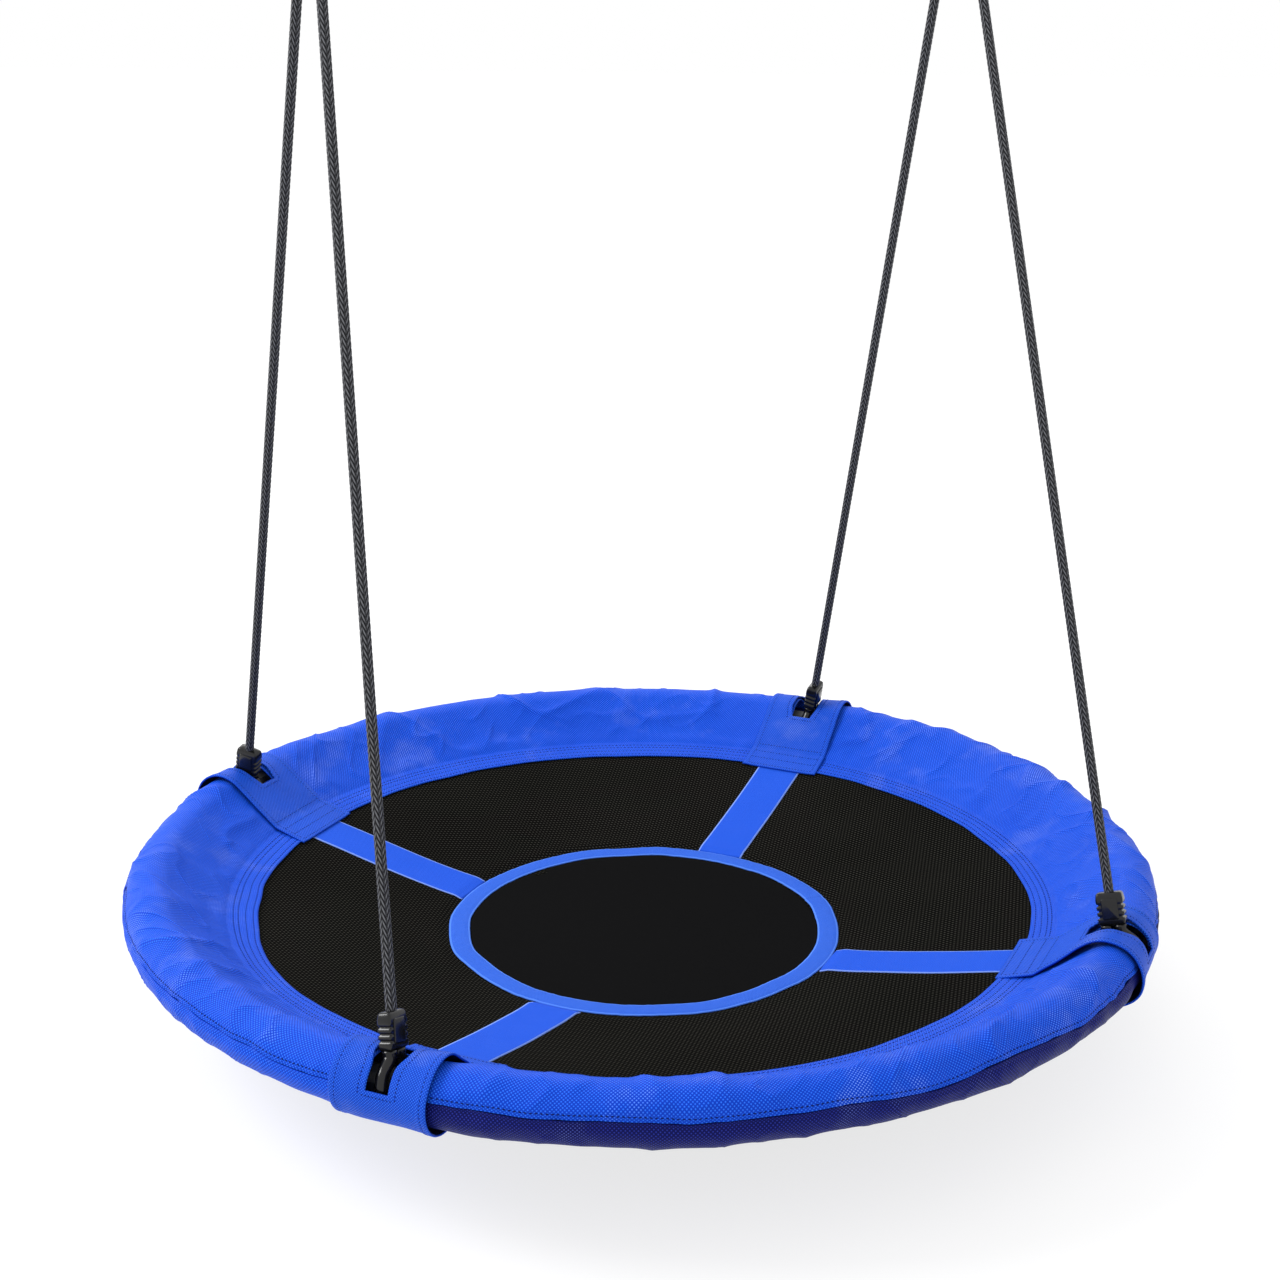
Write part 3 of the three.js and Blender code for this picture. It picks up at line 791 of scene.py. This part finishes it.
def cover_grid(start, end, above):
    line, at = (top_line, top_at) if above else (under_line, under_at)
    total = at[-1]
    angle = np.radians(np.linspace(start, end, COLUMNS))
    A, S = np.meshgrid(angle, at, indexing="ij")
    # The seam wanders, so the rows near it slide along the section.
    slide = seam_shift(A) * smooth(S, total * 0.45, total)
    along = S - slide if above else S + slide
    base = np.radians(SEAM)
    out = np.interp(along, at, line[:, 0])
    up = np.interp(along, at, line[:, 1])
    past = np.maximum(along - total, 0) / COVER_R
    turn = base - past if above else base + past
    out = np.where(along > total, COVER_R * np.cos(turn), out)
    up = np.where(along > total, COVER_R * np.sin(turn), up)
    n = section_normals(line)
    sign = 1 if above else -1
    n_out = np.interp(along, at, n[:, 0]) * sign
    n_up = np.interp(along, at, n[:, 1]) * sign
    d = cover_relief(A, S, total, above)
    # The hem's inner edge is drawn in a little between the stitches.
    sway = 0.0014 * noise(A * 0.38 / 0.035, A * 0, 11) + 0.0035 * noise(A * 0.38 / 0.16, A * 0, 13)
    sway = sway * (1 - smooth(S, 0.0, 0.030))
    out, up = out + n_out * d + sway, up + n_up * d
    return ring_point(A, out, up), np.stack([A * 0.45, S], -1)


END = 44.95  # degrees from a side's middle to its cover's end
HOSE_GAP = 43.4  # the cover's tube ends here, beside the rope's hose
sewn = Stitches()
for side, middle in SIDES.items():
    for above in (True, False):
        grid, uv = cover_grid(middle - END, middle + END, above)
        label = "top" if above else "under"
        p = grid if above else grid[::-1]
        # The tube part leaves room for the rope's hose, and the flat part meets the next cover.
        line, at = (top_line, top_at) if above else (under_line, under_at)
        from_middle = np.abs(np.linspace(-END, END, COLUMNS - 1))[:, None]
        on_tube = np.hypot(line[:-1, 0], line[:-1, 1])[None] < 0.0285
        keep = ~((from_middle > HOSE_GAP) & on_tube)
        if above:
            # Room for the strap's end, under the patch.
            keep &= ~((from_middle > 45 - 4.6) & (at[None, :-1] < 0.014))
        # Painted shade: the front, right and back under panels wear the darkened copy of the blue
        # cloth, and the left one, facing the key light, keeps the plain blue.
        cloth = "blue" if above or side == "left" else "painted_shade_blue"
        piece = slab(f"padded_cover_{label}_{side}", p, CLOTH, blue if cloth == "blue" else painted_shade_blue,
                     uv if above else uv[::-1], keep=keep)
        mesh_clean(piece)
        belongs(piece, "seat", f"cover_{label}_{side}")
        if above:
            normal = upward(grid_normals(grid), COLUMNS // 2, 30)
            for row in (*HEM_ROWS, at[-1] - SEAM_ROW):
                j = int(np.argmin(np.abs(at - row)))
                sewn.row(grid[16:-16, j], normal[16:-16, j], width=0.0008, height=0.0006, gap=0.22,
                         lift=CLOTH + 0.0001)
sewn.make("cover_stitching", "seat")

# The foam sleeves: split along their outer side, with soft dents.
FOAM_END = 39.9  # degrees from a side's middle
for side, middle in SIDES.items():
    angle = np.radians(np.linspace(middle - FOAM_END, middle + FOAM_END, 150))
    around = np.linspace(0, 2 * np.pi, 40, endpoint=False)
    A, B = np.meshgrid(angle, around, indexing="ij")
    split = np.abs((B + np.pi) % (2 * np.pi) - np.pi)
    dents = 0.0003 * noise(A * 30, B * 3, 31)
    r = FOAM_R - 0.0020 + dents - 0.0015 * np.exp(-((split / 0.05) ** 2))
    outer = ring_point(A, r * np.cos(B), r * np.sin(B))
    r2 = TUBE_R + 0.0004
    inner = ring_point(A, r2 * np.cos(B), r2 * np.sin(B))
    grid = np.concatenate([outer, inner[::-1]])
    faces = grid_faces(300, 40, closed_u=True, closed_v=True)
    sleeve = make_object(f"foam_sleeve_{side}", grid.reshape(-1, 3), faces, foam)
    mesh_clean(sleeve)
    belongs(sleeve, "seat", f"foam_{side}")
    # The tubes and screws wear the zinc darkened as painted shade.
    nodes[f"frame_tube_{side}"].data.materials[0] = zinc_painted_shade
for corner in CORNERS:
    nodes[f"frame_screw_{corner}"].data.materials[0] = zinc_painted_shade

# ---------------------------------------------------------------- seat


def seat_height(x, y):
    """The sagging seat: taut between the hem and the centre, drawn a little at the straps."""
    r = np.hypot(x, y)
    angle = np.arctan2(y, x)
    z = mesh_height(r)
    knee = 0.0016 * np.exp(-(((r - CENTRE_R) / 0.02) ** 2))
    wavy = 0.0008 * noise(x / 0.07 + 5, y / 0.07 + 5, 41) * smooth(r, 0.20, 0.25)
    wavy = wavy * (1 - smooth(r, 0.345, 0.375))
    drawn = 0.0012 * np.cos(4 * angle) * smooth(r, 0.20, 0.29) * (1 - smooth(r, 0.30, 0.375))
    return z + knee * smooth(r, CENTRE_R, CENTRE_R + 0.01) + wavy + drawn


def turned(x, y, spin):
    """The weave's coordinates, turned by an angle."""
    c, s = math.cos(spin), math.sin(spin)
    return np.stack([c * x + s * y, -s * x + c * y], -1)


def disc(name, r_in, r_out, rings, turns, lift, thickness, material, spin):
    r = np.linspace(r_in, r_out, rings)
    a = np.linspace(0, 2 * np.pi, turns, endpoint=False)
    A, R = np.meshgrid(a, r, indexing="ij")
    x, y = R * np.cos(A), R * np.sin(A)
    p = np.stack([x, y, SEAT_Z + seat_height(x, y) + lift], -1)
    return slab(name, p, thickness, material, turned(x, y, spin), closed_u=True)


net = disc("seat_net", 0.165, 0.406, 60, 360, MESH / 2, MESH, black_mesh, math.radians(20))
mesh_clean(net)
belongs(net, "seat", "seat_mesh")


def round_panel(name, radius, count, lift, thickness, material, spin):
    """A full disc of square cells, squeezed into a circle."""
    line = np.linspace(-1, 1, count)
    U, V = np.meshgrid(line, line, indexing="ij")
    x, y = radius * U * np.sqrt(1 - V**2 / 2), radius * V * np.sqrt(1 - U**2 / 2)
    p = np.stack([x, y, SEAT_Z + seat_height(x, y) + lift], -1)
    p[..., 2] += 0.0005 * noise(x / 0.06 + 9, y / 0.06 + 9, 43)
    up = np.broadcast_to([0, 0, 1.0], p.shape)
    return slab(name, p, thickness, material, turned(x, y, spin), normals=up)


centre = round_panel("centre_panel", 0.1745, 110, MESH / 2 + GAP + MESH, MESH, black_cloth,
                     math.radians(10))
mesh_clean(centre)
belongs(centre, "seat", "centre_patch")


def binding():
    """The tape round the centre, folded over the mesh and stitched near both edges."""
    a = np.linspace(0, 2 * np.pi, 480, endpoint=False)
    v = np.linspace(-0.5, 0.5, 17)
    A, V = np.meshgrid(a, v, indexing="ij")
    corner = np.abs(A % (np.pi / 2) - np.pi / 4)
    wobble = 0.0022 * noise(A * 4.5, V * 0, 51) * smooth(corner, 0.14, 0.40)
    R = TAPE_R - TAPE_WIDTH / 2 + V * TAPE_WIDTH + wobble
    lift = MESH / 2 + GAP + WEBBING - 0.0009 * (np.abs(V) * 2) ** 6
    sunk = 0.0003 * np.exp(-(((np.abs(V) - 0.38) / 0.05) ** 2))
    lift = lift + 0.0003 * noise(A * 40, V * 3, 52) - sunk
    p = np.stack([R * np.cos(A), R * np.sin(A), SEAT_Z + CENTRE_Z + lift], -1)
    uv = np.stack([A * 0.185, V * TAPE_WIDTH], -1)
    made = slab("centre_binding", p, WEBBING - 0.0003, tape_blue, uv, closed_u=True)
    mesh_clean(made)
    belongs(made, "seat", "centre_tape")
    sewing = Stitches()
    up = np.tile([0, 0, 1.0], (481, 1))
    for j in (2, 14):
        sewing.row(np.vstack([p[:, j], p[:1, j]]), up, 0.0032)
    sewing.make("binding_stitching", "seat")


binding()


def across(corner, r, w, z):
    angle = math.radians(CORNERS[corner])
    c, s = math.cos(angle), math.sin(angle)
    return np.stack([r * c - w * s, r * s + w * c, z + np.zeros_like(r)], -1)


def strap(corner, seed):
    """A flat strap from the centre's tape to the hang patch, over the mesh."""
    r = np.linspace(TAPE_R + 0.0005, PATCH_REACH + 0.018, 70)
    v = np.linspace(-0.5, 0.5, 21)
    Rr, V = np.meshgrid(r, v, indexing="ij")
    W = V * STRAP_WIDTH
    edge = -0.0005 * (np.abs(V) * 2) ** 8
    wavy = 0.0003 * noise(Rr / 0.05, V * 1.3, seed) + 0.0008
    p = across(corner, Rr, W, 0.0)
    p[..., 2] = SEAT_Z + seat_height(p[..., 0], p[..., 1]) + MESH / 2 + WEBBING + edge + wavy
    made = slab(f"woven_strap_{corner}", p, WEBBING - 0.0002, strap_blue, np.stack([Rr, W], -1))
    mesh_clean(made)
    belongs(made, "seat", f"strap_{corner}")


for seed, corner in enumerate(CORNERS):
    strap(corner, 60 + seed)

# ---------------------------------------------------------------- hang patches


def patch_profile():
    """The patch's outer side in the corner's plane, as [distance from the axis, height]."""
    lift = MESH / 2 + 0.0009 + WEBBING + GAP + WEBBING
    inner = (PATCH_REACH - HANG_R, hem_height(PATCH_REACH - RING_R) + lift)
    fold_out = HEM_R - RING_R + HEM_WIDTH
    fold = (fold_out, hem_height(fold_out) + lift + 0.003)
    start = tangent_angle(fold[0], fold[1], PATCH_R, True) % (2 * np.pi)
    angles = np.linspace(start, math.radians(-100), 50)
    arc = [(PATCH_R * math.cos(a), PATCH_R * math.sin(a)) for a in angles]
    return [inner, fold, *arc]


PATCH_ROWS, PATCH_PART = 110, 22  # the patch's grid: rows along it, and columns in each third
PATCH_HEM = 0.0055  # from a patch's edge to its row of stitches


def patch_relief(along, W, corner, seed):
    """The patch's hems along its two sides, its soft folds, and its loose front edge."""
    half = PATCH_WIDTH / 2
    edge = half - np.abs(W)
    d = 0.0006 * (1 - smooth(edge, 0.0075, 0.0095))
    d -= 0.0004 * np.exp(-(((edge - PATCH_HEM) / 0.0009) ** 2))
    d -= 0.0007 * (1 - smooth(edge, 0.0, 0.0012))
    free = smooth(along, 0.02, 0.06)
    d += free * 0.0012 * noise(along / 0.05, W / 0.04 + 3, seed)
    d += free * 0.0006 * noise(along / 0.018, W / 0.05, seed + 9)
    loose = W if "left" in corner else -W
    lifted = 0.0012 + 0.0014 * noise(along / 0.03, W * 0 + seed, 71)
    d += free * lifted * smooth(loose, half * 0.35, half)
    return d - free * 0.0013 * smooth(-loose, half * 0.45, half)


def patch_stitches(corner, p, w, inside):
    """Rows along the patch's sides, across its inner end and round its slot."""
    normal = upward(grid_normals(p), 5, 25)
    sewing = Stitches()
    side_row = int(np.argmin(np.abs(w + PATCH_WIDTH / 2 - PATCH_HEM)))
    for j in (side_row, len(w) - 1 - side_row):
        sewing.row(p[3:-3, j], normal[3:-3, j], 0.0036)
    for i in (2, 8, 14, 20):
        sewing.row(p[i, 3:-3], normal[i, 3:-3], 0.0036)
    rows = np.where(inside.any(1))[0]
    first, last = rows[0] - 3, rows[-1] + 3
    for i in (first, last):
        sewing.row(p[i, 18:-18], normal[i, 18:-18], 0.0032)
    for j in (17, len(w) - 18):
        sewing.row(p[first:last + 1, j], normal[first:last + 1, j], 0.0032)
    sewing.make(f"patch_stitching_{corner}", "seat")


def hang_patch(corner, seed):
    line, at = resample(patch_profile(), PATCH_ROWS)
    n = section_normals(line)
    half, slot_half = PATCH_WIDTH / 2, SLOT_WIDTH / 2
    w = np.concatenate([np.linspace(-half, -slot_half, PATCH_PART),
                        np.linspace(-slot_half, slot_half, PATCH_PART)[1:-1],
                        np.linspace(slot_half, half, PATCH_PART)])
    S, W = np.meshgrid(np.arange(PATCH_ROWS), w, indexing="ij")
    along = at[S]
    d = patch_relief(along, W, corner, seed)
    out, up = line[S, 0] + n[S, 0] * d, line[S, 1] + n[S, 1] * d
    # The slot is spread by the clamp and narrows towards its two ends.
    narrow = 0.0045 * smooth(np.abs(out + 0.006), 0.010, 0.026)
    inner = np.minimum(np.abs(W) / slot_half, 1)
    outer = smooth(half - np.abs(W), 0.008, half - slot_half)
    W = W - np.sign(W) * narrow * inner * np.where(inner < 1, 1, outer)
    p = across(corner, HANG_R + out, W, SEAT_Z + up)
    slot_rows = (up > 0.007) & (out > -0.0285)
    inside = slot_rows & (np.abs(w)[None] < slot_half - 1e-6)
    keep = ~(inside[:-1, :-1] | inside[1:, :-1] | inside[:-1, 1:] | inside[1:, 1:])
    # The inner side wears the near-black cloth as painted shade.
    piece = slab(f"hanging_patch_{corner}", p, WEBBING, patch_blue, np.stack([along, W], -1),
                 keep=keep, inner_material=painted_shade_lining)
    mesh_clean(piece)
    belongs(piece, "seat", f"hang_patch_{corner}")
    patch_stitches(corner, p, w, inside)


for seed, corner in enumerate(CORNERS):
    hang_patch(corner, 80 + seed)

# ---------------------------------------------------------------- floor and light


def floor():
    material = Shader("floor_paper", Roughness=0.9, Specular_IOR_Level=0.0, Emission_Strength=0.75)
    material.bsdf.inputs["Emission Color"].default_value = (1, 1, 1, 1)
    grain = material.noise(3, 2)
    base = material.ramp(grain, (0.3, (0.27, 0.27, 0.27)), (0.7, (0.29, 0.29, 0.29)))
    material.finish(base)
    z, half = SEAT_Z - FLOOR_DROP, 30
    points = [(-half, -half, z), (half, -half, z), (half, half, z), (-half, half, z)]
    made = make_object("floor", points, [(0, 1, 2, 3)], material.material)


floor()


def area_light(name, place, target, size, power):
    data = bpy.data.lights.new(name, "AREA")
    data.shape = "RECTANGLE"
    data.size, data.size_y = size
    data.energy = power
    made = bpy.data.objects.new(name, data)
    made.location = place
    made.rotation_euler = (Vector(target) - Vector(place)).to_track_quat("-Z", "Y").to_euler()
    bpy.context.scene.collection.objects.link(made)


seat_middle = (0, 0, SEAT_Z)
area_light("key", (-2.2, 0.7, 0.8), seat_middle, (1.2, 1.2), 55)
area_light("back", (0.6, 2.4, 0.9), seat_middle, (2.2, 1.0), 26)
world = bpy.data.worlds.new("studio")
world.use_nodes = True
world.node_tree.nodes["Background"].inputs[0].default_value = (1, 1, 1, 1)
world.node_tree.nodes["Background"].inputs[1].default_value = 1.0
bpy.context.scene.world = world
bpy.context.scene.view_settings.view_transform = "Standard"
